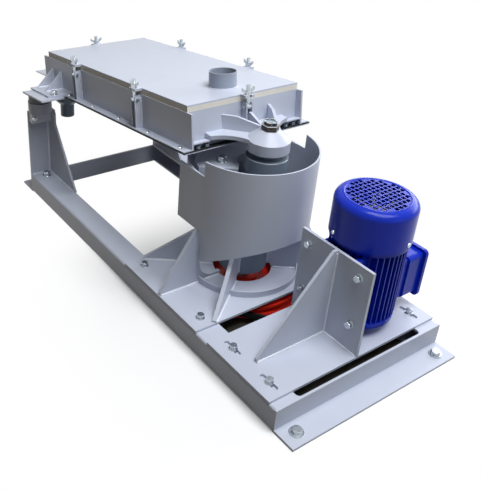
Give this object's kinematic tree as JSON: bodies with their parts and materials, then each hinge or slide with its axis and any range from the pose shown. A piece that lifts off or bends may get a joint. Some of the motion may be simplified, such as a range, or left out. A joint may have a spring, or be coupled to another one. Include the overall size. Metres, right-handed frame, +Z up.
{
  "type": "gyratory vibrating screen with crank drive",
  "caption": "Tilted closed sieve box on a bolted channel base, its head swung in a circle by a belt-driven crank in a drum and its tail resting on slide pads",
  "frame": {"origin": "centre of the four anchor holes in the base's foot flanges, on the floor", "axes": "+X along the base towards the motor, +Z up, -Y the side that the motor bracket's gusset faces"},
  "size_m": [1.1331, 0.432, 0.4472],
  "materials": {
    "frame_paint": "light blue-grey enamel over bent and welded sheet",
    "box_paint": "light blue-grey enamel over bent and welded sheet",
    "spout_paint": "darker grey enamel on rolled tube",
    "dark_paint": "dark grey enamel on turned and rolled steel",
    "gasket_cream": "matt moulded strip",
    "gasket_black": "matt sheet",
    "motor_paint": "royal blue gloss enamel on cast and pressed metal",
    "fan_plastic": "moulded",
    "pulley_paint": "red enamel on a turned casting",
    "belt_rubber": "fabric-covered V-belt",
    "machined_steel": "turned and ground",
    "dark_steel": "oxidised",
    "zinc_steel": "zinc plated",
    "pad_plastic": "dense bearing plastic",
    "sieve_steel": "punched sheet"
  },
  "bodies": {
    "root": {"side_member_near": "frame_paint", "side_member_far": "frame_paint", "front_cross_member": "frame_paint", "rear_cross_member": "frame_paint", "tail_post_near": "frame_paint", "tail_post_far": "frame_paint", "post_clamps": "frame_paint", "support_cups": "dark_paint", "slide_pads": "pad_plastic", "bearing_plate": "frame_paint", "side_ribs": "frame_paint", "diagonal_ribs": "frame_paint", "plate_ring": "frame_paint", "drum_guard": "frame_paint", "drum_rear_wall": "frame_paint", "bearing_housing": "dark_paint", "motor_plate": "frame_paint", "motor_bracket": "frame_paint", "bracket_gusset": "frame_paint", "motor_body": "motor_paint", "motor_cowl": "motor_paint", "terminal_box": "motor_paint", "drive_belt": "belt_rubber"},
    "motor_rotor": {"motor_shaft": "machined_steel", "motor_pulley": "pulley_paint", "motor_fan": "fan_plastic"},
    "crank_rotor": {"drive_shaft": "machined_steel", "driven_pulley": "pulley_paint", "crank_disc": "dark_paint", "counterweight": "box_paint", "crank_nut": "dark_steel"},
    "screen_box": {"side_wall_near": "box_paint", "side_wall_far": "box_paint", "front_wall": "box_paint", "rear_wall": "box_paint", "wall_flanges": "box_paint", "pan_gasket": "gasket_black", "bottom_pan": "box_paint", "outlet_spouts": "dark_paint", "cover_gasket": "gasket_cream", "sieve_deck": "sieve_steel", "cover": "box_paint", "inlet_spout": "spout_paint", "clamp_channels": "box_paint", "swing_bolts": "zinc_steel", "drive_arm": "box_paint", "eccentric_housing": "box_paint", "tail_brackets": "box_paint", "discharge_lip": "box_paint"}
  },
  "joints": [
    {"name": "drive_spin", "type": "hinge", "parent": "root", "child": "crank_rotor", "pos_m": [0.121, 0, 0], "axis": [0, 0, 1], "continuous": true},
    {"name": "screen_orbit", "type": "hinge", "parent": "crank_rotor", "child": "screen_box", "pos_m": [0.159, 0, 0.35], "axis": [0, 0, 1], "continuous": true},
    {"name": "motor_spin", "type": "hinge", "parent": "root", "child": "motor_rotor", "pos_m": [0.3685, 0.08, 0], "axis": [0, 0, 1], "continuous": true}
  ],
  "couplings": [
    {"joint": "screen_orbit", "follows": "drive_spin", "ratio": -1},
    {"joint": "motor_spin", "follows": "drive_spin", "ratio": 4.0625}
  ]
}
